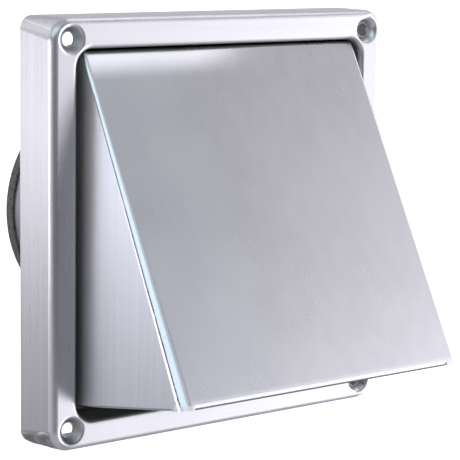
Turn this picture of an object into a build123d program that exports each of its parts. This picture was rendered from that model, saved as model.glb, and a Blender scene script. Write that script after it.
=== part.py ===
from build123d import *

# Hooded wall vent with a gravity flap, for a 100 mm round duct.
#
# Frame of the model, in millimetres: +Z is up, -Y is the front (out of the wall),
# +Y goes into the wall. The origin is the centre of the plane of the wall, on
# the axis of the round spigot. The vent is made of pressed and folded stainless
# sheet: a pan-shaped face frame with a recess, a folded hood that stands in the
# recess, a round spigot crimped into the floor of the recess, and a light flap
# that hangs on a pin in front of the mouth of the spigot.
import math
import os

# ---------------------------------------------------------------- dimensions
SIDE = 166.9            # face frame, outside
DEPTH = 22.0            # face frame, from the wall to the front
LIFT = 1.9              # the middle of the frame stands this far above the spigot's axis
T = 0.8                 # sheet of the frame and of the hood
R_CORNER = (5.5, 9.0)   # frame corners seen from the front: at the wall, and at the front
R_FRONT = 2.8           # bend between the side walls and the front ring
APERTURE = 143.4        # recess, between its walls
APERTURE_Z = -0.35      # the recess sits a little below the middle of the frame
R_APERTURE = 7.0        # recess corners seen from the front
R_LIP = 2.2             # bend between the front ring and the recess walls
RECESS = 16.0           # front ring to the floor of the recess
R_FLOOR = 1.6           # bend between the recess walls and its floor

HOLE_X = 74.6           # wall screws, from the middle to both sides
HOLE_Z = (75.1, -75.3)  # and up and down
HOLE_R = 2.75
DIMPLE_R = 5.3          # pressed seat for the screw's head, sharp rim
DIMPLE_FOOT_R = 3.05
DIMPLE_DEEP = 2.6
DIMPLE_LIP = 2.2

HOOD_HALF = (68.3, 69.3)     # hood, half its width at the top and at the lower edge
HOOD_SIDEWAYS = 0.3     # the hood sits this far to the right of the middle
HOOD_TOP = (-19.4, 70.6)     # top bend (y, z), sharp
HOOD_LIP = (-85.8, -55.6)    # lower front edge (y, z), sharp
HOOD_REAR_FOOT = -69.5  # z of the cheeks' lower edge at the floor of the recess
R_HOOD_LEFT = (1.3, 4.2)     # bend between the slope and the left cheek, it opens out downwards
R_HOOD_RIGHT = (0.9, 1.4)    # and the right cheek, bent sharper
R_HOOD_TOP = 2.5        # bend between the top return and the slope
R_HOOD_CORNER = 2.0     # bends between the top return and the cheeks
TURN = (3.2, 1.5)       # the last millimetres of the slope are turned in by some degrees
HOOD_OFF_FLOOR = 0.8    # the sheet stops short of the floor, only the feet touch it
HEM = 6.0               # folded safe edge along the lower front edge
HEM_NOTCH = 5.2         # the hem stops this far from each cheek
HEM_IN = 0.9            # inside radius of the hem
FOOT_WIDE = 9.5         # feet of the cheeks, turned inwards on the floor
FOOT_Z = (-60.0, 56.0)

SPIGOT_R = 49.0         # outside of the spigot
SPIGOT_T = 0.6
SPIGOT_END = 62.7       # how far it reaches behind the plane of the wall
FLANGE_R = 54.5
SEAL_R = 49.95          # foam band round the spigot's end
SEAL_WIDE = 5.0

GASKET_R = (49.4, 53.4)      # foam ring that the flap closes on
GASKET_T = 3.5
FLAP_R = 54.0
FLAP_T = 0.6
FLAP_GAP = 0.3          # flap to foam ring
KNUCKLE_X = (27.0, 45.5)
FLAP_NECK = 57.0        # top edge of the flap between its knuckles
PIN_R = 1.25
PIN_RUN = 0.08          # running clearance of the knuckles on the pin
PIN_Z = 61.0

BRACKET_HALF = 46.8
BRACKET_Z = (57.6, 66.4)
BRACKET_OUT = 6.2       # how far the ears stand out from the floor
RIVET_R = 1.6
RIVET_HOLE_R = 1.7
HOOD_RIVETS = [(sx * 63.0, z) for sx in (-1, 1) for z in (-48.0, -4.0, 40.0)]
BRACKET_RIVETS = [(-14.0, 62.0), (14.0, 62.0)]

# ---------------------------------------------------------- derived positions
FRONT = -DEPTH
FLOOR = FRONT + RECESS              # front surface of the recess floor
FLOOR_BACK = FLOOR + T
FLANGE_FRONT = FLOOR - SPIGOT_T
GASKET_FRONT = FLANGE_FRONT - GASKET_T
FLAP_BACK = GASKET_FRONT - FLAP_GAP
FLAP_FRONT = FLAP_BACK - FLAP_T
KNUCKLE_IN = PIN_R + PIN_RUN
KNUCKLE_OUT = KNUCKLE_IN + FLAP_T
PIN_Y = FLAP_FRONT + KNUCKLE_OUT    # the knuckles curl towards the wall, so the flap's weight closes it


def slab(wide, y0, y1):
    """Square block across the Y axis."""
    return Pos(0, (y0 + y1) / 2, 0) * Box(wide, y1 - y0, wide)


def pan_block(wide, y0, y1, inset):
    """Square block across the Y axis; its corners open out from the wall to the front."""
    ends = []
    for y in (y0, y1):
        r = R_CORNER[0] + (R_CORNER[1] - R_CORNER[0]) * y / FRONT - inset
        ends.append(Plane(origin=(0, y, 0), x_dir=(1, 0, 0), z_dir=(0, -1, 0)) * RectangleRounded(wide, wide, r))
    return loft(ends, ruled=True)


def block(x0, x1, y0, y1, z0, z1):
    return Pos((x0 + x1) / 2, (y0 + y1) / 2, (z0 + z1) / 2) * Box(x1 - x0, y1 - y0, z1 - z0)


def rod_y(r, y0, y1, x=0.0, z=0.0):
    return Pos(x, (y0 + y1) / 2, z) * Rot(90, 0, 0) * Cylinder(r, y1 - y0)


def rod_x(r, x0, x1, y=0.0, z=0.0):
    return Pos((x0 + x1) / 2, y, z) * Rot(0, 90, 0) * Cylinder(r, x1 - x0)


def turn(edges):
    """Solid turned about the Y axis from a profile drawn as (radius, y)."""
    return revolve(make_face(Curve() + edges), axis=Axis.Y, revolution_arc=360)


def lines(*points):
    return [Line(a, b) for a, b in zip(points, points[1:])]


# ----------------------------------------------------------------- face frame
def face_frame():
    outer = pan_block(SIDE, 0, FRONT, 0)
    outer = fillet(outer.faces().sort_by(Axis.Y)[0].edges(), R_FRONT)
    hollow = pan_block(SIDE - 2 * T, 5, FRONT + T, T)
    hollow = fillet(hollow.faces().sort_by(Axis.Y)[0].edges(), R_FRONT - T)
    tub = Pos(0, 0, APERTURE_Z) * slab(APERTURE + 2 * T, FRONT + T / 2, FLOOR_BACK)
    tub = fillet(tub.edges().filter_by(Axis.Y), R_APERTURE + T)
    tub = fillet(tub.faces().sort_by(Axis.Y)[-1].edges(), R_FLOOR + T)
    recess = Pos(0, 0, APERTURE_Z) * slab(APERTURE, FRONT - 5, FLOOR)
    recess = fillet(recess.edges().filter_by(Axis.Y), R_APERTURE)
    recess = fillet(recess.faces().sort_by(Axis.Y)[-1].edges(), R_FLOOR)
    pan = (outer - hollow) + tub - recess

    def loop(y, reach):
        found = []
        for e in pan.edges():
            b = e.bounding_box()
            far = max(abs(b.min.X), abs(b.max.X), abs(b.min.Z - APERTURE_Z), abs(b.max.Z - APERTURE_Z))
            if abs(b.min.Y - y) < 1e-4 and abs(b.max.Y - y) < 1e-4 and abs(far - reach) < 0.02:
                found.append(e)
        return found

    pan = fillet(loop(FRONT, APERTURE / 2), R_LIP)
    pan = fillet(loop(FRONT + T, APERTURE / 2 + T), R_LIP - T)

    # pressed seats for the screw heads, one in each corner of the ring
    slope = math.hypot(DIMPLE_R - DIMPLE_FOOT_R, DIMPLE_DEEP)
    c, s = (DIMPLE_R - DIMPLE_FOOT_R) / slope, DIMPLE_DEEP / slope
    off_r, off_y = T * s, T * c                      # the sheet's thickness, square to the cone
    run = (DIMPLE_R - DIMPLE_FOOT_R) / DIMPLE_DEEP   # radius lost for each millimetre of depth

    def back_r(y):
        return DIMPLE_R + off_r - (y - (FRONT + off_y)) * run

    foot_back = FRONT + DIMPLE_DEEP + T
    cup = turn(lines((0, FRONT + T / 2), (back_r(FRONT + T / 2), FRONT + T / 2),
                     (back_r(foot_back), foot_back), (0, foot_back), (0, FRONT + T / 2)))
    tangent = DIMPLE_LIP * math.tan(math.acos(c) / 2)
    a = (DIMPLE_R + tangent, FRONT)
    b = (DIMPLE_R - c * tangent, FRONT + s * tangent)
    centre = (a[0], FRONT + DIMPLE_LIP)
    to_rim = (DIMPLE_R - centre[0], FRONT - centre[1])
    k = DIMPLE_LIP / math.hypot(*to_rim)
    mid = (centre[0] + to_rim[0] * k, centre[1] + to_rim[1] * k)
    foot = FRONT + DIMPLE_DEEP
    press = turn(lines((0, FRONT - 1), (a[0], FRONT - 1), a) + [ThreePointArc(a, mid, b)]
                 + lines(b, (DIMPLE_FOOT_R, foot), (0, foot), (0, FRONT - 1)))
    for sx in (-1, 1):
        for z in HOLE_Z:
            at = Pos(sx * HOLE_X, 0, z)
            pan = pan + at * cup
            pan = pan - at * press - rod_y(HOLE_R, foot - 1, foot_back + 1, sx * HOLE_X, z)

    # floor: mouth for the spigot, and rivet holes
    pan = Pos(0, 0, LIFT) * pan
    pan = pan - rod_y(SPIGOT_R + 0.7, FLOOR - 1, FLOOR_BACK + 1)
    for x, z in HOOD_RIVETS + BRACKET_RIVETS:
        pan = pan - rod_y(RIVET_HOLE_R, FLOOR - 1, FLOOR_BACK + 1, x, z)
    return pan


# ----------------------------------------------------------------------- hood
def hood():
    ty, tz = HOOD_TOP
    ly, lz = HOOD_LIP
    long = math.hypot(ly - ty, lz - tz)
    d = ((ly - ty) / long, (lz - tz) / long)     # down the slope
    n = (-d[1], d[0])                            # from the outer face inwards
    lean = (ly - ty) / (lz - tz)
    flare = (HOOD_HALF[1] - HOOD_HALF[0]) / (tz - lz)
    skin_x = T * math.hypot(1, flare)            # the sheet of a cheek, measured level
    skin_y = T / n[0]                            # the sheet of the slope, measured level
    q = math.sqrt(0.5)

    def at(s, depth):
        return (ty + s * d[0] + depth * n[0], tz + s * d[1] + depth * n[1])

    def half_at(z):
        return HOOD_HALF[0] + (tz - z) * flare

    def prism(points, half):
        return extrude(make_face(Plane.YZ * Polyline(*points, close=True)), half, both=True)

    # the last strip of the slope, above the hem, is turned in a little
    fy, fz = at(long - TURN[0], 0)
    tilt = math.atan(lean) - math.radians(TURN[1])
    d2 = (-math.sin(tilt), -math.cos(tilt))
    n2 = (-d2[1], d2[0])
    lean2 = math.tan(tilt)
    ly, lz = fy + TURN[0] * d2[0], fz + TURN[0] * d2[1]

    def at2(s, depth):
        """Along the turned strip, from the hood's lower edge upwards where s is below 0."""
        return (ly + s * d2[0] + depth * n2[0], lz + s * d2[1] + depth * n2[1])

    inner_fold = fz + (T / n2[0] - skin_y) / (lean - lean2)

    def level(z, inside, rear):
        """Level section of the hood's outline, or of its inside."""
        h = half_at(z) - (skin_x if inside else 0)
        if z >= (inner_fold if inside else fz) - 1e-6:
            f = ty + (z - tz) * lean + (skin_y if inside else 0)
        else:
            f = fy + (z - fz) * lean2 + (T / n2[0] if inside else 0)
        low = (tz - z) / (tz - HOOD_LIP[1])
        a, b = (r[0] + (r[1] - r[0]) * low - (T if inside else 0) for r in (R_HOOD_LEFT, R_HOOD_RIGHT))
        ka, kb = a - a * q, b - b * q
        edge = Curve() + (
            lines((-h, rear), (-h, f + a)) + [ThreePointArc((-h, f + a), (-h + ka, f + ka), (-h + a, f))]
            + lines((-h + a, f), (h - b, f)) + [ThreePointArc((h - b, f), (h - kb, f + kb), (h, f + b))]
            + lines((h, f + b), (h, rear), (-h, rear))
        )
        return Pos(0, 0, z) * make_face(edge)

    def body(inside, rear):
        fold = inner_fold if inside else fz
        solid = loft([level(z, inside, rear) for z in (-80.0, fold)], ruled=True)
        solid = solid + loft([level(z, inside, rear) for z in (fold, 78.0)], ruled=True)
        # flat top, and its bend into the slope
        skin = T if inside else 0.0
        r = R_HOOD_TOP - skin
        slope = math.atan(lean)
        top = tz - skin
        front = ty - skin * lean + (skin_y if inside else 0)     # where top and slope would meet
        reach = r * math.tan((math.pi / 2 - slope) / 2)
        c = (front + reach, top - r)
        foot = (c[0] - r * math.cos(slope), c[1] + r * math.sin(slope))
        half_turn = (math.pi / 2 + slope) / 2
        mid = (c[0] - r * math.cos(half_turn), c[1] + r * math.sin(half_turn))
        out = (foot[0] - 20 * math.cos(slope), foot[1] + 20 * math.sin(slope))
        corner = Curve() + (
            [ThreePointArc((c[0], top), mid, foot)]
            + lines(foot, out, (out[0], top + 20), (c[0], top + 20), (c[0], top))
        )
        solid = solid - extrude(Plane.YZ * make_face(corner), 90, both=True)
        solid = solid - block(-90, 90, c[0] - 0.01, 30, top, 120)
        # the bends of the top into the cheeks, hammered round in four flats
        h = half_at(tz - R_HOOD_CORNER) - (skin_x if inside else 0)
        k = R_HOOD_CORNER - skin
        flats = [(h - k + k * math.cos(t * math.pi / 8), top - k + k * math.sin(t * math.pi / 8)) for t in range(5)]
        flats = [(h + 0.2, top - k - 0.4)] + flats[1:-1] + [(h - k - 0.4, top + 0.2), (h - k - 0.4, top + 5), (h + 5, top + 5), (h + 5, top - k - 0.4)]
        for side in (-1, 1):
            solid = solid - extrude(make_face(Plane.XZ * Polyline(*[(side * x, z) for x, z in flats], close=True)), 120, both=True)
        return solid

    rear_y = FLOOR - HOOD_OFF_FLOOR
    shell = body(False, rear_y) - body(True, 5.0)

    # lower edge: one straight line from the front edge back to the floor
    rear = (FLOOR, HOOD_REAR_FOOT)
    fall = (lz - rear[1]) / (ly - rear[0])
    shell = shell - prism([(-140, lz + (-140 - ly) * fall), (20, lz + (20 - ly) * fall), (20, -150), (-140, -150)], 90)

    # closed hem along the lower front edge, notched at both corners
    r_in, r_out = HEM_IN, HEM_IN + T
    far = T + 2 * r_in
    sc = -r_out - 0.25
    half = HOOD_HALF[1] - HEM_NOTCH
    trim = prism([at2(sc, -1), at2(sc + 6, -1), at2(sc + 6, 2), at2(sc, 2)], half)
    profile = Curve() + (
        [ThreePointArc(at2(sc, 0), at2(sc + r_out, r_out), at2(sc, far + T))]
        + lines(at2(sc, far + T), at2(sc - HEM, far + T), at2(sc - HEM, far), at2(sc, far))
        + [ThreePointArc(at2(sc, far), at2(sc + r_in, r_out), at2(sc, T))]
        + lines(at2(sc, T), at2(sc - 0.6, T), at2(sc - 0.6, 0), at2(sc, 0))
    )
    hem = extrude(Plane.YZ * make_face(profile), half, both=True)
    shell = shell - trim + hem

    # the same safe edge, narrower, along the lower edge of each cheek
    first = Vector(-half_at(rear[1]), rear[0], rear[1])
    last = Vector(-half_at(lz), ly, lz)
    along = (last - first).normalized()
    e_long = (last - first).length
    up = Vector(flare, 0, 1)                     # up in the plane of the left cheek
    up = (up - along * up.dot(along)).normalized()
    inwards = along.cross(up)
    if inwards.X < 0:
        inwards = inwards * -1
    start, stop = 4.0, e_long - 7.5
    plane = Plane(origin=first + along * start, x_dir=inwards, z_dir=inwards.cross(up))
    run = (stop - start) * (1 if plane.z_dir.dot(along) > 0 else -1)
    r_in, r_out = 0.15, 0.15 + T
    far = T + 2 * r_in
    uc = r_out + 0.1
    cut_low = extrude(plane * Pos(0.4, uc / 2 - 1.5, 0) * Rectangle(2.4, uc + 3.0), run)
    side_profile = Curve() + (
        [ThreePointArc((0, uc), (r_out, uc - r_out), (far + T, uc))]
        + lines((far + T, uc), (far + T, uc + 5), (far, uc + 5), (far, uc))
        + [ThreePointArc((far, uc), (r_out, uc - r_in), (T, uc))]
        + lines((T, uc), (T, uc + 0.6), (0, uc + 0.6), (0, uc))
    )
    side_hem = extrude(plane * make_face(side_profile), run)
    for piece in (lambda p: p, lambda p: mirror(p, about=Plane.YZ)):
        shell = shell - piece(cut_low) + piece(side_hem)

    # feet: the rear of each cheek is bent inwards onto the floor and riveted
    r_o, r_i = 1.6, 1.6 - T

    def sole(z):
        x = -half_at(z)
        return Pos(0, 0, z) * make_face(Curve() + (
            lines((x, FLOOR - 3.2), (x, FLOOR - r_o))
            + [ThreePointArc((x, FLOOR - r_o), (x + r_o - r_o * q, FLOOR - r_o + r_o * q), (x + r_o, FLOOR))]
            + lines((x + r_o, FLOOR), (x + FOOT_WIDE, FLOOR), (x + FOOT_WIDE, FLOOR - T), (x + r_o, FLOOR - T))
            + [ThreePointArc((x + r_o, FLOOR - T), (x + r_o - r_i * q, FLOOR - r_o + r_i * q), (x + skin_x, FLOOR - r_o))]
            + lines((x + skin_x, FLOOR - r_o), (x + skin_x, FLOOR - 3.2), (x, FLOOR - 3.2))
        ))

    foot = loft([sole(FOOT_Z[0]), sole(FOOT_Z[1])], ruled=True)
    room = block(-HOOD_HALF[1] - 2, -HOOD_HALF[0] + 2, FLOOR - 2.6, FLOOR + 1, *FOOT_Z)
    for piece in (lambda p: p, lambda p: mirror(p, about=Plane.YZ)):
        shell = shell - piece(room) + piece(foot)
    shell = Pos(HOOD_SIDEWAYS, 0, LIFT) * shell
    for rx, rz in HOOD_RIVETS:
        shell = shell - rod_y(RIVET_HOLE_R, FLOOR - 2, FLOOR + 1, rx, rz)
    return shell


# --------------------------------------------------------------------- spigot
def spigot():
    ro, ri = SPIGOT_R, SPIGOT_R - SPIGOT_T
    q = math.sqrt(0.5)
    back = FLOOR_BACK + 0.05
    crimp = 1.3
    bend_o, bend_i = 1.5, 0.6
    p = (
        lines((ro, SPIGOT_END), (ro, back + crimp + 0.6), (ro + 0.6, back + crimp), (50.8, back + crimp))
        + [ThreePointArc((50.8, back + crimp), (50.8 + crimp / 2, back + crimp / 2), (50.8, back))]
        + lines((50.8, back), (ro, back), (ro, FLOOR + bend_i))
        + [ThreePointArc((ro, FLOOR + bend_i), (ro + bend_i - bend_i * q, FLOOR + bend_i - bend_i * q), (ro + bend_i, FLOOR))]
        + lines((ro + bend_i, FLOOR), (FLANGE_R, FLOOR), (FLANGE_R, FLANGE_FRONT), (ri + bend_o, FLANGE_FRONT))
        + [ThreePointArc((ri + bend_o, FLANGE_FRONT), (ri + bend_o - bend_o * q, FLANGE_FRONT + bend_o - bend_o * q), (ri, FLANGE_FRONT + bend_o))]
        + lines((ri, FLANGE_FRONT + bend_o), (ri, back + 0.25), (ri + 0.4, back + 0.65), (ri, back + 1.05),
                (ri, SPIGOT_END), (ro, SPIGOT_END))
    )
    return turn(p)


def ring(r0, r1, y0, y1, soft):
    """Foam ring with its outer edges eased."""
    body = rod_y(r1, y0, y1) - rod_y(r0, y0 - 1, y1 + 1)
    edges = [e for e in body.edges() if e.geom_type == GeomType.CIRCLE and abs(e.radius - r1) < 1e-3]
    return fillet(edges, soft)


# ----------------------------------------------------------------------- flap
def flap():
    plate = rod_y(FLAP_R, FLAP_FRONT, FLAP_BACK)
    x1 = KNUCKLE_X[1]
    plate = plate + block(-x1, x1, FLAP_FRONT, FLAP_BACK, 0, FLAP_NECK)
    # pressed stiffening bead
    a, m, b = 36.0, 38.0, 40.0
    high = 1.0
    ring_room = rod_y(b, FLAP_FRONT - 1, FLAP_BACK + 1) - rod_y(a, FLAP_FRONT - 2, FLAP_BACK + 2)
    bead = turn([ThreePointArc((a, FLAP_FRONT), (m, FLAP_FRONT - high), (b, FLAP_FRONT)),
                 Line((b, FLAP_FRONT), (b, FLAP_BACK)),
                 ThreePointArc((b, FLAP_BACK), (m, FLAP_BACK - high), (a, FLAP_BACK)),
                 Line((a, FLAP_BACK), (a, FLAP_FRONT))])
    plate = plate - ring_room + bead

    # knuckles: the sheet is curled round the pin
    def on(r, deg):
        return (PIN_Y + r * math.cos(math.radians(deg)), PIN_Z + r * math.sin(math.radians(deg)))

    end = -105.0
    mid = (180 + end) / 2
    curl = Curve() + (
        lines((FLAP_BACK, FLAP_NECK - 1), (FLAP_FRONT, FLAP_NECK - 1), on(KNUCKLE_OUT, 180))
        + [ThreePointArc(on(KNUCKLE_OUT, 180), on(KNUCKLE_OUT, mid), on(KNUCKLE_OUT, end)),
           Line(on(KNUCKLE_OUT, end), on(KNUCKLE_IN, end)),
           ThreePointArc(on(KNUCKLE_IN, end), on(KNUCKLE_IN, mid), on(KNUCKLE_IN, 180))]
        + lines(on(KNUCKLE_IN, 180), (FLAP_BACK, FLAP_NECK - 1))
    )
    knuckle = extrude(Plane.YZ * make_face(curl), KNUCKLE_X[1] - KNUCKLE_X[0])
    for x0 in (KNUCKLE_X[0], -KNUCKLE_X[1]):
        plate = plate + Pos(x0, 0, 0) * knuckle
    return plate


# ----------------------------------------------------------------- hinge parts
def hinge_bracket():
    h, r_o = BRACKET_HALF, 1.4
    r_i = r_o - T
    q = math.sqrt(0.5)
    tip = FLOOR - BRACKET_OUT

    def arc(cx, cy, r, sx):
        return ThreePointArc((cx, cy + r), (cx + sx * r * q, cy + r * q), (cx + sx * r, cy))

    cx, cy = h - r_o, FLOOR - r_o
    u = Curve() + (
        lines((-cx, FLOOR), (cx, FLOOR)) + [arc(cx, cy, r_o, 1)]
        + lines((h, cy), (h, tip), (h - T, tip), (h - T, cy)) + [arc(cx, cy, r_i, 1)]
        + lines((cx, FLOOR - T), (-cx, FLOOR - T)) + [arc(-cx, cy, r_i, -1)]
        + lines((-h + T, cy), (-h + T, tip), (-h, tip), (-h, cy)) + [arc(-cx, cy, r_o, -1)]
    )
    body = Pos(0, 0, BRACKET_Z[0]) * extrude(make_face(u), BRACKET_Z[1] - BRACKET_Z[0])
    corners = [e for e in body.edges().filter_by(Axis.X)
               if abs(e.center().Y - tip) < 1e-3]
    body = fillet(corners, 2.6)
    body = body - rod_x(PIN_R + 0.05, -h - 1, h + 1, PIN_Y, PIN_Z)
    for x, z in BRACKET_RIVETS:
        body = body - rod_y(RIVET_HOLE_R, FLOOR - 2, FLOOR + 1, x, z)
    return body


def hinge_pin():
    h = BRACKET_HALF
    pin = rod_x(PIN_R, -h - 0.9, h + 2.2, PIN_Y, PIN_Z)
    head = rod_x(2.3, -h - 1.2, -h, PIN_Y, PIN_Z)
    head = fillet(head.faces().sort_by(Axis.X)[0].edges(), 0.7)
    pin = pin + head
    return chamfer(pin.faces().sort_by(Axis.X)[-1].edges(), 0.3)


def pin_clip():
    h = BRACKET_HALF
    clip = rod_x(2.75, h + 0.05, h + 0.55, PIN_Y, PIN_Z) - rod_x(PIN_R, h - 1, h + 2, PIN_Y, PIN_Z)
    # star slots that let the teeth spring
    for i in range(6):
        slot = Pos(h + 0.3, PIN_Y, PIN_Z) * Rot(60 * i, 0, 0) * Pos(0, 0, 1.5) * Box(2, 0.45, 1.1)
        clip = clip - slot
    return clip


def rivets(spots, head_r, head_y):
    """Blind rivets: a domed head in front, a set bulb behind the floor."""
    high = 1.0
    q = (head_r * head_r + high * high) / (2 * high)
    mid_r = head_r * 0.55
    mid_y = head_y - high + (q - math.sqrt(q * q - mid_r * mid_r))
    bulb = FLOOR_BACK + 2.6
    one = turn([ThreePointArc((0, head_y - high), (mid_r, mid_y), (head_r, head_y))]
               + lines((head_r, head_y), (RIVET_R, head_y), (RIVET_R, FLOOR_BACK), (2.2, FLOOR_BACK), (2.3, FLOOR_BACK + 0.7))
               + [ThreePointArc((2.3, FLOOR_BACK + 0.7), (1.7, bulb - 0.5), (0.6, bulb))]
               + lines((0.6, bulb), (0, bulb), (0, head_y - high)))
    return Compound(children=[Pos(x, 0, z) * one for x, z in spots])


PIECES = {
    "face_frame": face_frame(),
    "hood": hood(),
    "spigot": spigot(),
    "duct_seal": ring(SPIGOT_R, SEAL_R, SPIGOT_END - SEAL_WIDE, SPIGOT_END, 0.4),
    "flap_seal": ring(GASKET_R[0], GASKET_R[1], GASKET_FRONT, FLANGE_FRONT, 0.5),
    "flap": flap(),
    "hinge_bracket": hinge_bracket(),
    "hinge_pin": hinge_pin(),
    "pin_clip": pin_clip(),
    "hood_rivets": rivets(HOOD_RIVETS, 3.0, FLOOR - T),
    "bracket_rivets": rivets(BRACKET_RIVETS, 2.6, FLOOR - T),
}

if __name__ == "__main__":
    os.makedirs("parts", exist_ok=True)
    for name, shape in PIECES.items():
        export_step(shape, f"parts/{name}.step")
    print("pin axis", round(PIN_Y, 3), PIN_Z, "floor", FLOOR, "flap", round(FLAP_FRONT, 3), round(FLAP_BACK, 3))
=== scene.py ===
import math

import bpy
from mathutils import Matrix, Vector, noise


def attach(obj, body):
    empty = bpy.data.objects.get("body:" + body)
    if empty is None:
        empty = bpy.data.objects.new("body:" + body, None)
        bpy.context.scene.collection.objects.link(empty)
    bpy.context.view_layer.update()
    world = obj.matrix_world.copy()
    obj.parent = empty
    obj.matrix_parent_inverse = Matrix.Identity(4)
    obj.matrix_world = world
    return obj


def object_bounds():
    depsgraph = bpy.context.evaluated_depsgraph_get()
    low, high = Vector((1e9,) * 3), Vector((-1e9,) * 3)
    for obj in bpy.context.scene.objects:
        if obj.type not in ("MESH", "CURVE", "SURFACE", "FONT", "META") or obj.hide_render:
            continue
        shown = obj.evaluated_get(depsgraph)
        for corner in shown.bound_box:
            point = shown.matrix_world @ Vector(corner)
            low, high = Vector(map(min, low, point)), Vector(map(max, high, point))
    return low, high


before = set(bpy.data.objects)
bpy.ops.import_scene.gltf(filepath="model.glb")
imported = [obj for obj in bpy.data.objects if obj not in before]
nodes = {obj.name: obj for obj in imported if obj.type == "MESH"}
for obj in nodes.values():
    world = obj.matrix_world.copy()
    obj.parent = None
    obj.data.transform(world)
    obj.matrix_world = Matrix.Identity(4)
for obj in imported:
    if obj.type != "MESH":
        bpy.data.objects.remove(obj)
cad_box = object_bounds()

LIFT = 0.0019      # middle of the frame above the axis of the spigot
scene = bpy.context.scene

# ------------------------------------------------------------------ camera
YAW, PITCH, ROLL = 0.6799, -0.1553, 0.0142
FOCAL_PX, IMAGE_PX = 2010.72, 460.0
EYE = Vector((-0.50134, -0.64525, 0.12377))

d = Vector((math.sin(YAW) * math.cos(PITCH), math.cos(YAW) * math.cos(PITCH), math.sin(PITCH)))
r0 = Vector((math.cos(YAW), -math.sin(YAW), 0.0))
u0 = r0.cross(d)
right = math.cos(ROLL) * r0 + math.sin(ROLL) * u0
up = -math.sin(ROLL) * r0 + math.cos(ROLL) * u0
cam_data = bpy.data.cameras.new("camera")
cam_data.sensor_fit = "HORIZONTAL"
cam_data.sensor_width = 36.0
cam_data.lens = FOCAL_PX * 36.0 / IMAGE_PX
cam_data.clip_start = 0.01
cam_data.clip_end = 200.0
cam = bpy.data.objects.new("camera", cam_data)
scene.collection.objects.link(cam)
cam.matrix_world = Matrix((
    (right.x, up.x, -d.x, EYE.x),
    (right.y, up.y, -d.y, EYE.y),
    (right.z, up.z, -d.z, EYE.z),
    (0, 0, 0, 1),
))
scene.camera = cam

# ------------------------------------------------------------ node helpers


class Graph:
    """Small helper that adds nodes to a tree and links them in one call."""

    def __init__(self, tree):
        self.t = tree
        self.n = tree.nodes
        self.l = tree.links

    def add(self, kind, props=None, **inputs):
        node = self.n.new(kind)
        for k, v in (props or {}).items():
            setattr(node, k, v)
        for k, v in inputs.items():
            self.put(node, k, v)
        return node

    def put(self, node, key, value):
        if isinstance(key, str) and key.startswith("i") and key[1:].isdigit():
            socket = node.inputs[int(key[1:])]
        else:
            socket = node.inputs[key.replace("_", " ")] if key.replace("_", " ") in node.inputs else node.inputs[key]
        if isinstance(value, bpy.types.NodeSocket):
            self.l.new(value, socket)
        elif isinstance(value, bpy.types.Node):
            self.l.new(value.outputs[0], socket)
        else:
            socket.default_value = value

    def math(self, op, a, b=0.0, c=None, clamp=False):
        node = self.n.new("ShaderNodeMath")
        node.operation = op
        node.use_clamp = clamp
        self.put(node, "i0", a)
        self.put(node, "i1", b)
        if c is not None:
            self.put(node, "i2", c)
        return node.outputs[0]

    def vmath(self, op, a, b=None):
        node = self.n.new("ShaderNodeVectorMath")
        node.operation = op
        self.put(node, "i0", a)
        if b is not None:
            self.put(node, "i1", b)
        return node.outputs["Value"] if op in ("DOT_PRODUCT", "LENGTH", "DISTANCE") else node.outputs[0]

    def ramp(self, x, lo, hi, to_lo=0.0, to_hi=1.0, smooth=True):
        node = self.n.new("ShaderNodeMapRange")
        node.interpolation_type = "SMOOTHSTEP" if smooth else "LINEAR"
        self.put(node, "i0", x)
        for i, v in enumerate((lo, hi, to_lo, to_hi)):
            self.put(node, f"i{i + 1}", v)
        return node.outputs[0]

    def mix(self, fac, a, b):
        node = self.n.new("ShaderNodeMix")
        node.data_type = "RGBA"
        self.put(node, "i0", fac)
        for i, v in ((6, a), (7, b)):
            self.put(node, f"i{i}", v if isinstance(v, (bpy.types.NodeSocket, bpy.types.Node)) else (*v, 1.0))
        return node.outputs[2]

    def mixf(self, fac, a, b):
        node = self.n.new("ShaderNodeMix")
        node.data_type = "FLOAT"
        for i, v in ((0, fac), (2, a), (3, b)):
            self.put(node, f"i{i}", v)
        return node.outputs[0]


# ------------------------------------------------------- studio light and floor
# Directions are given as azimuth, from +Y towards +X, and elevation, in degrees.
world = bpy.data.worlds.new("studio")
scene.world = world
world.use_nodes = True
world.node_tree.nodes.clear()
g = Graph(world.node_tree)
out = g.add("ShaderNodeOutputWorld")
direction = g.add("ShaderNodeTexCoord").outputs["Generated"]
dxyz = g.add("ShaderNodeSeparateXYZ", Vector=g.vmath("NORMALIZE", direction))
elev = g.math("MULTIPLY", g.math("ARCSINE", dxyz.outputs[2]), 180.0 / math.pi)


def by_height(*stops):
    """Brightness by elevation, through (elevation, brightness) stops."""
    value = stops[0][1]
    for (e0, v0), (e1, v1) in zip(stops, stops[1:]):
        value = g.math("ADD", value, g.ramp(elev, e0, e1, 0.0, v1 - v0, smooth=False))
    return value


def toward(az, inner, outer):
    """1 near one azimuth, 0 away from it."""
    a = math.radians(az)
    flat = g.add("ShaderNodeCombineXYZ", X=dxyz.outputs[0], Y=dxyz.outputs[1])
    dot = g.vmath("DOT_PRODUCT", g.vmath("NORMALIZE", flat.outputs[0]), (math.sin(a), math.cos(a), 0.0))
    return g.ramp(dot, math.cos(math.radians(outer)), math.cos(math.radians(inner)))


def lobe(az, el, inner, outer, strength):
    """Soft round light."""
    a, e = math.radians(az), math.radians(el)
    c = (math.sin(a) * math.cos(e), math.cos(a) * math.cos(e), math.sin(e))
    dot = g.vmath("DOT_PRODUCT", direction, c)
    return g.ramp(dot, math.cos(math.radians(outer)), math.cos(math.radians(inner)), 0.0, strength)


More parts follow.
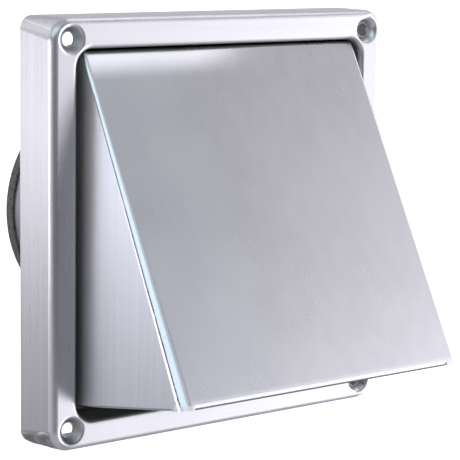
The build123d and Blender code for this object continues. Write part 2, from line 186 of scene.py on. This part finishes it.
total = by_height((-65, 0.75), (-40, 0.5), (0, 0.6), (60, 0.7))
for weight, level in (
    # right, behind
    (toward(38, 30, 60), by_height((-65, 0.55), (-35, 0.3), (-12, 0.45), (3, 0.70), (40, 0.75))),
    # left, behind
    (toward(-31, 25, 34), by_height((-26, 0.34), (-15, 0.485), (-12.6, 0.55), (-10.9, 0.69), (-8.8, 0.86), (-6.6, 0.84), (-3, 0.66), (3, 0.9), (12, 1.35), (30, 1.3), (46, 0.8))),
    # around the camera
    (toward(-135, 62, 74), by_height((-24, 0.58), (-15, 0.34), (-12, 0.2), (-9, 0.165), (-4, 0.25), (10, 0.28), (50, 0.42))),
    # right, in front
    (toward(121, 19, 38), g.math("MULTIPLY", g.mixf(toward(100, 22, 40), 0.76, 1.46), by_height((-60, 0.3), (-43, 0.5), (-29, 2.25), (-15, 2.45), (-4, 1.95), (4, 1.8), (18, 1.5), (23, 1.0), (27, 0.54), (30, 0.285), (34, 0.236), (36.5, 0.262), (39, 0.33), (47, 0.45), (60, 0.5)))),
):
    total = g.mixf(weight, total, level)
for extra in (
    g.math("MULTIPLY", toward(-59, 8, 16), by_height((-10.6, 0.0), (-8.4, 1.6), (-6, 6.0), (-3, 3.8), (2, 1.0), (8, 0.0))),
    g.math("MULTIPLY", toward(-68, 11, 19), by_height((-24, 0.1), (-12, 0.38), (-8, 0.7), (-3, 0.9), (3, 0.5), (7, 0.0))),
    g.math("MULTIPLY", toward(97, 8, 16), by_height((-10, 0.0), (0, 0.4), (34, 0.4), (44, 0.0))),
    g.math("MULTIPLY", toward(72, 13, 21), by_height((-18, 0.0), (-10, -0.4), (12, -0.4), (20, 0.0))),
    g.math("MULTIPLY", toward(-84, 12, 22), by_height((-15, 0.0), (-9, 0.2), (-3, 0.4), (3, 0.0))),
    g.math("MULTIPLY", toward(-107, 10, 20), by_height((-24, 0.0), (-15, 0.45), (-3, 0.5), (4, 0.0))),
    g.math("MULTIPLY", toward(46, 12, 20), by_height((-22, 0.0), (-13, -0.5), (-2, -0.5), (4, 0.0))),
    lobe(-84, 7, 6, 11, -1.2),
    lobe(-149, 33, 8, 18, 0.6),
    lobe(115, 17, 8, 20, 0.5),
    lobe(116, 52, 8, 16, 1.25),
    lobe(-163, 40, 14, 34, 0.4),
):
    total = g.math("ADD", total, extra)
cool = g.math("MULTIPLY", toward(-111, 17, 27), by_height((6, 0.0), (13, 1.0), (46, 1.0), (58, 0.0)))
total = g.math("ADD", total, g.math("MULTIPLY", cool, 1.0))
total = g.math("MAXIMUM", total, 0.02)
tone = g.mix(lobe(-155, 40, 10, 32, 1.0), (0.968, 0.952, 1.03), (0.78, 0.9, 1.0))
tone = g.mix(cool, tone, (0.79, 0.945, 1.02))
bg = g.add("ShaderNodeBackground", Color=tone, Strength=total)
g.l.new(bg.outputs[0], out.inputs[0])

floor_z = cad_box[0][2] - 0.35
mesh = bpy.data.meshes.new("floor")
R = 60.0
mesh.from_pydata([(-R, -R, floor_z), (R, -R, floor_z), (R, R, floor_z), (-R, R, floor_z)], [], [(0, 1, 2, 3)])
floor = bpy.data.objects.new("floor", mesh)
scene.collection.objects.link(floor)
fm = bpy.data.materials.new("floor")
fm.use_nodes = True
g = Graph(fm.node_tree)
bsdf = fm.node_tree.nodes["Principled BSDF"]
tc = g.add("ShaderNodeTexCoord").outputs["Object"]
speck = g.add("ShaderNodeTexNoise", Vector=tc, Scale=40.0, Detail=3.0).outputs[0]
g.put(bsdf, "Base_Color", g.mix(speck, (0.93, 0.93, 0.93), (0.95, 0.95, 0.95)))
bsdf.inputs["Roughness"].default_value = 0.9
bsdf.inputs["Emission Color"].default_value = (1, 1, 1, 1)
bsdf.inputs["Emission Strength"].default_value = 0.6
floor.data.materials.append(fm)
floor.visible_glossy = False
floor.visible_diffuse = False

# --------------------------------------------------------------- materials


def new_material(name):
    m = bpy.data.materials.new(name)
    m.use_nodes = True
    g = Graph(m.node_tree)
    return m, g, m.node_tree.nodes["Principled BSDF"], g.add("ShaderNodeTexCoord").outputs["Object"]


def stretched(g, coords, scale, detail=3.0, rough=0.6):
    """Noise drawn out along the axes with a small scale."""
    v = g.add("ShaderNodeMapping", {"vector_type": "POINT"}, Vector=coords, Scale=scale).outputs[0]
    return g.add("ShaderNodeTexNoise", Vector=v, Scale=1.0, Detail=detail, Roughness=rough).outputs[0]


def brushed(name, colour, rough, grain, framed=False, aniso=0.85, tint=(0.97, 0.985, 1.03), dull_and_shaded=None, rough_side=None, seats=None, bow=None, hem=None, wall_shade=None, contrast=0.05):
    m, g, bsdf, tc = new_material(name)
    fine_v = stretched(g, tc, (1500, 1500, 14), 2.0)
    wide_v = stretched(g, tc, (420, 420, 5), 3.0)
    sep = g.add("ShaderNodeSeparateXYZ", Vector=tc)
    ax = g.math("ABSOLUTE", sep.outputs[0])
    az = g.math("ABSOLUTE", g.math("SUBTRACT", sep.outputs[2], LIFT))
    geo = g.add("ShaderNodeNewGeometry")
    normal = geo.outputs["Normal"]
    across = None
    if framed:
        across = g.ramp(g.math("SUBTRACT", az, ax), -0.0008, 0.0008)
        fine = g.mixf(across, fine_v, stretched(g, tc, (14, 1500, 1500), 2.0))
        wide = g.mixf(across, wide_v, stretched(g, tc, (5, 420, 420), 3.0))
    else:
        fine, wide = fine_v, wide_v
    cloud = g.add("ShaderNodeTexNoise", Vector=tc, Scale=22.0, Detail=4.0, Roughness=0.55).outputs[0]
    streak = g.math("ADD", g.math("MULTIPLY", fine, 0.4), g.math("MULTIPLY", wide, 0.6))
    c1 = tuple(v * (1 - contrast) for v in colour)
    c2 = tuple(min(1.0, v * (1 + contrast)) for v in colour)
    base = g.mix(g.ramp(streak, 0.3, 0.7, smooth=False), c1, c2)
    tinted = tuple(v * t for v, t in zip(colour, tint))
    base = g.mix(g.ramp(cloud, 0.45, 0.75, 0.0, 0.35), base, tinted)
    r = g.math("ADD", g.ramp(wide, 0.25, 0.75, rough - 0.6 * contrast, rough + 0.6 * contrast, smooth=False), g.ramp(cloud, 0.3, 0.8, -0.01, 0.03))
    if rough_side is not None:
        smear = stretched(g, tc, (170, 170, 2.5), 2.0, 0.5)
        base = g.mix(g.ramp(smear, 0.3, 0.7), tuple(v * 0.978 for v in colour), tuple(v * 1.018 for v in colour))
        # Painted reflection: the left half of the slope gets a cooler tint of reflected light.
        base = g.mix(g.ramp(sep.outputs[0], 0.01, -0.055, 0.0, 0.75), base, tuple(v * t for v, t in zip(colour, (0.955, 0.995, 1.01))))
        base = g.mix(g.ramp(cloud, 0.45, 0.75, 0.0, 0.45), base, tinted)
        nx = g.math("ABSOLUTE", g.add("ShaderNodeSeparateXYZ", Vector=normal).outputs[0])
        flank = g.ramp(nx, 0.93, 0.99)
        bend = g.math("MULTIPLY", g.ramp(nx, 0.08, 0.25), g.ramp(nx, 0.985, 0.95))
        r = g.math("ADD", r, g.math("MULTIPLY", flank, rough_side - rough))
        r = g.mixf(bend, r, 0.17)
        # Painted light and shade on the cheeks: a darker copy of the colour, and a lighter copy painted nearest the
        # ring and higher up in place of a reflection.
        cheek_painted_shade = g.mix(g.ramp(streak, 0.3, 0.7, smooth=False), tuple(v * t for v, t in zip(colour, (0.79, 0.82, 0.85))), tuple(v * t for v, t in zip(colour, (0.9, 0.94, 0.975))))
        cheek_painted_light = g.mix(g.ramp(streak, 0.3, 0.7, smooth=False), tuple(v * 1.22 for v in colour), tuple(min(1.0, v * 1.32) for v in colour))
        # Painted shade: the bend on the right of the hood is darkened.
        right_x = g.add("ShaderNodeSeparateXYZ", Vector=normal).outputs[0]
        right_bend_shade = g.math("MULTIPLY", g.ramp(right_x, 0.22, 0.4), g.ramp(right_x, 0.95, 0.8))
        base = g.mix(g.math("MULTIPLY", right_bend_shade, 0.75), base, (0.3, 0.3, 0.285))
        lit = g.math("MULTIPLY", g.ramp(sep.outputs[1], -0.036, -0.025), g.ramp(sep.outputs[2], -0.055, 0.01, 0.25, 1.0))
        base = g.mix(flank, base, g.mix(lit, cheek_painted_shade, cheek_painted_light))
    lay = g.mixf(flank, aniso, 0.88) if rough_side is not None else aniso
    nxyz = g.add("ShaderNodeSeparateXYZ", Vector=normal)
    # Painted shade: the side, top and bottom walls get a darker copy of the colour.
    if wall_shade is not None:
        base = g.mix(g.ramp(g.math("ABSOLUTE", nxyz.outputs[1]), 0.35, 0.1), base, g.mix(g.ramp(streak, 0.3, 0.7, smooth=False), tuple(v * wall_shade * 0.95 for v in colour), tuple(v * wall_shade * 1.05 for v in colour)))
    if dull_and_shaded is not None:
        # Inside faces, where shade falls, are made rough and get painted shade: dark grey, darker still where the
        # second mask is set.
        inside, deep = dull_and_shaded(g, sep, ax, az)
        lay = g.mixf(inside, lay, 0.0)
        base = g.mix(inside, base, g.mix(deep, (0.3, 0.31, 0.29), (0.17, 0.17, 0.155)))
        r = g.mixf(inside, r, 0.62)
    if hem is not None:
        curl = hem(g, sep, ax, az)
        # Painted highlight on the curl of the hem, and painted shade on its downward-facing part.
        base = g.mix(g.math("MULTIPLY", curl, 0.6), base, (0.93, 0.93, 0.94))
        base = g.mix(g.math("MULTIPLY", curl, g.ramp(nxyz.outputs[2], -0.2, -0.55)), base, (0.3, 0.3, 0.29))
        r = g.mixf(curl, r, 0.4)
    if seats is not None:
        pressed = seats(g, sep, ax, az)
        # Painted shade: the seat cones get a darker grey.
        base = g.mix(pressed, base, (0.41, 0.412, 0.42))
        r = g.mixf(pressed, r, 0.5)
        lay = g.mixf(pressed, lay, 0.0)
    g.put(bsdf, "Anisotropic", lay)
    g.put(bsdf, "Base_Color", base)
    bsdf.inputs["Metallic"].default_value = 1.0
    g.put(bsdf, "Roughness", r)
    line = g.add("ShaderNodeCombineXYZ")
    if framed:
        g.put(line, "X", across)
        g.put(line, "Z", g.math("SUBTRACT", 1.0, across))
    else:
        line.inputs["Z"].default_value = 1.0
    side = g.vmath("NORMALIZE", g.vmath("CROSS_PRODUCT", normal, line.outputs[0]))
    g.put(bsdf, "Tangent", side)
    if grain > 0:
        bump = g.add("ShaderNodeBump", Height=streak, Strength=grain, Distance=0.00004)
        g.put(bsdf, "Normal", bump.outputs[0])
    if bow is not None:
        bump = g.add("ShaderNodeBump", Height=bow(g, sep, ax, az), Strength=1.0, Distance=1.0)
        g.put(bsdf, "Normal", bump.outputs[0])
    return m


def lower_hem(g, sep, ax, az):
    """Curl of the hem, given a painted highlight and, where it faces down, painted shade."""
    return g.math("MULTIPLY", g.ramp(sep.outputs[2], -0.0519, -0.0524), g.ramp(sep.outputs[1], -0.0795, -0.0800))


def top_bow(g, sep, ax, az):
    """The slope bows in a little under its top bend, on the left half."""
    drop = g.math("SUBTRACT", 0.0706 + LIFT, sep.outputs[2])
    near = g.math("MAXIMUM", g.math("SUBTRACT", 0.0115, drop), 0.0)
    height = g.math("MULTIPLY", g.math("MULTIPLY", near, near), -7.8)
    return g.math("MULTIPLY", height, g.ramp(sep.outputs[0], 0.03, -0.025))


def screw_seats(g, sep, ax, az):
    """Pressed cones round the four screw holes, rougher than the ring and darkened with painted shade; on the
    right-hand seats only the inner part.
    """
    qx = g.math("SUBTRACT", ax, 0.0746)
    qz = g.math("SUBTRACT", az, 0.0752)
    dist = g.math("SQRT", g.math("ADD", g.math("MULTIPLY", qx, qx), g.math("MULTIPLY", qz, qz)))
    return g.math("MULTIPLY", g.math("MINIMUM", g.ramp(dist, 0.0058, 0.0047), g.math("MAXIMUM", g.ramp(dist, 0.0046, 0.0036), g.ramp(sep.outputs[0], 0.01, -0.01))), g.ramp(sep.outputs[1], -0.0219, -0.0212))


def frame_inside(g, sep, ax, az):
    """Recess behind the ring and the unpolished back of the pressing: made rough, and darkened with painted shade."""
    y = sep.outputs[1]
    reach = g.math("MAXIMUM", ax, az)
    recess = g.math("MULTIPLY", g.ramp(y, -0.0224, -0.0207), g.ramp(reach, 0.0740, 0.0731))
    r = g.math("ADD", 0.0055, g.math("MULTIPLY", y, -0.15909))
    qx = g.math("MAXIMUM", g.math("SUBTRACT", g.math("ADD", ax, r), 0.08345), 0.0)
    qz = g.math("MAXIMUM", g.math("SUBTRACT", g.math("ADD", az, r), 0.08345), 0.0)
    from_edge = g.math("SUBTRACT", r, g.math("SQRT", g.math("ADD", g.math("MULTIPLY", qx, qx), g.math("MULTIPLY", qz, qz))))
    back = g.math("MULTIPLY", g.ramp(from_edge, 0.0003, 0.0005), g.ramp(y, -0.0190, -0.0187))
    back = g.math("MULTIPLY", back, g.ramp(g.math("SUBTRACT", sep.outputs[2], LIFT), -0.0822, -0.0820))
    back = g.math("MULTIPLY", back, g.math("SUBTRACT", 1.0, recess))
    return g.math("MAXIMUM", recess, back), back


def hood_inside(g, sep, ax, az):
    """Underside of the slope and the inner faces of the cheeks: made rough, and darkened with painted shade."""
    x = g.math("SUBTRACT", sep.outputs[0], 0.0003)
    y = sep.outputs[1]
    drop = g.math("SUBTRACT", 0.0706 + LIFT, sep.outputs[2])
    r = g.mixf(g.ramp(x, -0.001, 0.001), g.math("ADD", 0.0013, g.math("MULTIPLY", drop, 0.02298)),
               g.math("ADD", 0.0009, g.math("MULTIPLY", drop, 0.00396)))
    a = g.math("SUBTRACT", g.math("ADD", 0.0683, g.math("MULTIPLY", drop, 0.00792)), g.math("ABSOLUTE", x))
    b = g.math("ADD", g.math("ADD", y, 0.0194), g.math("MULTIPLY", drop, 0.52615))
    qa = g.math("MAXIMUM", g.math("SUBTRACT", r, a), 0.0)
    qb = g.math("MAXIMUM", g.math("SUBTRACT", r, b), 0.0)
    deep = g.math("SUBTRACT", r, g.math("SQRT", g.math("ADD", g.math("MULTIPLY", qa, qa), g.math("MULTIPLY", qb, qb))))
    return g.math("MULTIPLY", g.ramp(deep, 0.0005, 0.0007), g.ramp(drop, 0.0003, 0.0006)), 0.0


def plain_metal(name, colour, rough, scale=900.0):
    m, g, bsdf, tc = new_material(name)
    n = g.add("ShaderNodeTexNoise", Vector=tc, Scale=scale, Detail=4.0).outputs[0]
    c = g.add("ShaderNodeTexNoise", Vector=tc, Scale=60.0, Detail=3.0).outputs[0]
    g.put(bsdf, "Base_Color", g.mix(c, tuple(v * 0.88 for v in colour), tuple(min(1, v * 1.08) for v in colour)))
    bsdf.inputs["Metallic"].default_value = 1.0
    g.put(bsdf, "Roughness", g.ramp(n, 0.3, 0.7, rough - 0.02, rough + 0.03))
    g.put(bsdf, "Normal", g.add("ShaderNodeBump", Height=n, Strength=0.06, Distance=0.00005).outputs[0])
    return m


def foam(name, colour):
    m, g, bsdf, tc = new_material(name)
    v = g.add("ShaderNodeTexVoronoi", Vector=tc, Scale=760.0).outputs["Distance"]
    n = g.add("ShaderNodeTexNoise", Vector=tc, Scale=420.0, Detail=5.0, Roughness=0.65).outputs[0]
    b = g.add("ShaderNodeTexNoise", Vector=tc, Scale=120.0, Detail=3.0).outputs[0]
    pit = g.ramp(v, 0.15, 0.55)
    mixv = g.math("MULTIPLY", pit, g.ramp(n, 0.25, 0.75, 0.5, 1.0))
    light = tuple(min(1, c * 2.3) for c in colour)
    # Painted shade darkens the pores.
    base = g.mix(mixv, tuple(c * 0.35 for c in colour), colour)
    base = g.mix(g.ramp(n, 0.6, 0.8, 0.0, 0.6), base, light)
    base = g.mix(g.ramp(b, 0.5, 0.75, 0.0, 0.4), base, (colour[0] * 1.2, colour[1] * 1.25, colour[2] * 0.95))
    g.put(bsdf, "Base_Color", base)
    bsdf.inputs["Roughness"].default_value = 0.92
    h = g.math("ADD", g.math("MULTIPLY", pit, 0.6), g.math("MULTIPLY", n, 0.4))
    g.put(bsdf, "Normal", g.add("ShaderNodeBump", Height=h, Strength=0.8, Distance=0.0003).outputs[0])
    return m


def dress(node, material):
    o = nodes[node]
    o.data.materials.clear()
    o.data.materials.append(material)


dress("face_frame", brushed("frame_steel", (0.63, 0.63, 0.645), 0.28, 0.08, framed=True, dull_and_shaded=frame_inside, seats=screw_seats, wall_shade=0.88))
dress("hood", brushed("hood_steel", (0.74, 0.735, 0.75), 0.28, 0.0, aniso=0.7, tint=(0.985, 0.992, 0.965), dull_and_shaded=hood_inside, rough_side=0.38, bow=top_bow, hem=lower_hem, contrast=0.004))
dress("spigot", plain_metal("spigot_steel", (0.32, 0.325, 0.342), 0.5, 500.0))
dress("duct_seal", foam("band_foam", (0.165, 0.162, 0.155)))
dress("flap_seal", foam("ring_foam", (0.05, 0.05, 0.05)))
dress("flap", plain_metal("flap_sheet", (0.74, 0.75, 0.76), 0.3, 420.0))
dress("hinge_bracket", plain_metal("bracket_steel", (0.58, 0.58, 0.59), 0.3))
dress("hinge_pin", plain_metal("pin_steel", (0.6, 0.6, 0.61), 0.22))
dress("pin_clip", plain_metal("clip_steel", (0.34, 0.34, 0.35), 0.35))
rivet = plain_metal("rivet_metal", (0.7, 0.7, 0.71), 0.32)
dress("hood_rivets", rivet)
dress("bracket_rivets", rivet)

# ------------------------------------------------- ground welds on the corners
def ground(name, shade):
    """Ground weld metal that runs out into the sheet at its rim."""
    m, g, bsdf, tc = new_material(name)
    n = g.add("ShaderNodeTexNoise", Vector=tc, Scale=260.0, Detail=5.0, Roughness=0.6).outputs[0]
    f = g.add("ShaderNodeTexNoise", Vector=tc, Scale=1400.0, Detail=3.0).outputs[0]
    base = g.mix(g.ramp(n, 0.35, 0.65), tuple(v * shade for v in (0.5, 0.51, 0.52)), tuple(v * shade for v in (0.66, 0.66, 0.68)))
    base = g.mix(g.ramp(f, 0.64, 0.78, 0.0, 0.35), base, tuple(v * shade for v in (0.36, 0.39, 0.41)))
    rim = g.add("ShaderNodeAttribute", {"attribute_name": "fade"}).outputs["Fac"]
    g.put(bsdf, "Base_Color", g.mix(rim, (0.63, 0.63, 0.645), base))
    bsdf.inputs["Metallic"].default_value = 1.0
    g.put(bsdf, "Roughness", g.mixf(rim, 0.3, g.ramp(n, 0.3, 0.7, 0.32, 0.48)))
    g.put(bsdf, "Normal", g.add("ShaderNodeBump", Height=f, Strength=0.2, Distance=0.00006).outputs[0])
    return m


HALF, RF, FRONT = 0.08345, 0.0028, -0.022


def corner_weld(name, sx, sz, seed, over, lump, material, ragged=1.0, size=1.0):
    """Thin skin of ground weld metal over one corner of the frame, uneven like hand work."""
    flat = -FRONT - RF - 0.0004
    reach = flat + RF * math.pi / 2 * 0.66
    n_path, n_round = 64, 52
    verts, faces, fade = [], [], []
    for i in range(n_path + 1):
        s_path = reach * i / n_path
        if s_path <= flat:
            y, beta = -0.0004 - s_path, 0.0
        else:
            beta = (s_path - flat) / RF
            y = -0.0004 - flat - RF * math.sin(beta)
        rc = 0.0055 + 0.0035 * y / FRONT
        r = rc - RF + RF * math.cos(beta)
        quarter = rc * math.pi / 2
        length = quarter + 2 * over
        for j in range(n_round + 1):
            s_round = length * j / n_round - over
            phi = s_round / rc
            if phi < 0:
                cx, cz, nx, nz = r, s_round, 1.0, 0.0
            elif phi > math.pi / 2:
                cx, cz, nx, nz = -(s_round - quarter), r, 0.0, 1.0
            else:
                cx, cz, nx, nz = r * math.cos(phi), r * math.sin(phi), math.cos(phi), math.sin(phi)
            p = Vector((sx * (HALF - rc + cx), y, sz * (HALF - rc + cz) + LIFT))
            n = Vector((sx * nx * math.cos(beta), -math.sin(beta), sz * nz * math.cos(beta)))
            edge = min(i / n_path * 3.0, 1 - i / n_path) * reach
            edge = min(edge, j / n_round * length, (1 - j / n_round) * length)
            wob = noise.noise(p * (420.0 / size) + Vector((seed, 0, 0))) * 0.7 + noise.noise(p * (1000.0 / size) + Vector((0, seed, 0))) * 0.3
            rim = ragged * (0.0009 + 0.0007 * noise.noise(p * 330.0 + Vector((0, 0, seed))))
            rise = min(1.0, max(0.0, (edge - rim * 0.4) / (0.0012 * size)))
            rise = rise * rise * (3 - 2 * rise)
            high = -0.00008 + rise * (0.00018 + lump * wob)
            verts.append(p + n * high)
            fade.append(min(1.0, max(0.0, (edge - rim * 0.6) / 0.0026)))
    for i in range(n_path):
        for j in range(n_round):
            k = i * (n_round + 1) + j
            q = (k, k + 1, k + n_round + 2, k + n_round + 1)
            faces.append(q if sx * sz > 0 else q[::-1])
    me = bpy.data.meshes.new(name)
    me.from_pydata([tuple(v) for v in verts], [], faces)
    me.polygons.foreach_set("use_smooth", [True] * len(faces))
    me.attributes.new("fade", "FLOAT", "POINT").data.foreach_set("value", fade)
    me.materials.append(material)
    ob = bpy.data.objects.new(name, me)
    scene.collection.objects.link(ob)
    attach(ob, "housing")
    return ob


# The lower left weld is darker, 0.64 of the colour: painted shade on the lower corner as well as a darker weld.
plain_weld, dark_and_shaded_weld = ground("weld_metal", 1.0), ground("weld_metal_dark_and_shaded", 0.64)
corner_weld("weld_tl", -1, 1, 3.7, -0.0030, 0.00008, plain_weld)
corner_weld("weld_tr", 1, 1, 9.0, -0.0030, 0.00008, plain_weld)
corner_weld("weld_bl", -1, -1, 14.3, 0.0010, 0.00050, dark_and_shaded_weld, 1.6, 2.4)
corner_weld("weld_br", 1, -1, 19.6, -0.0030, 0.00010, plain_weld)

scene.view_settings.view_transform = "Standard"
scene.view_settings.look = "None"
scene.view_settings.exposure = 0.0
scene.view_settings.gamma = 1.0
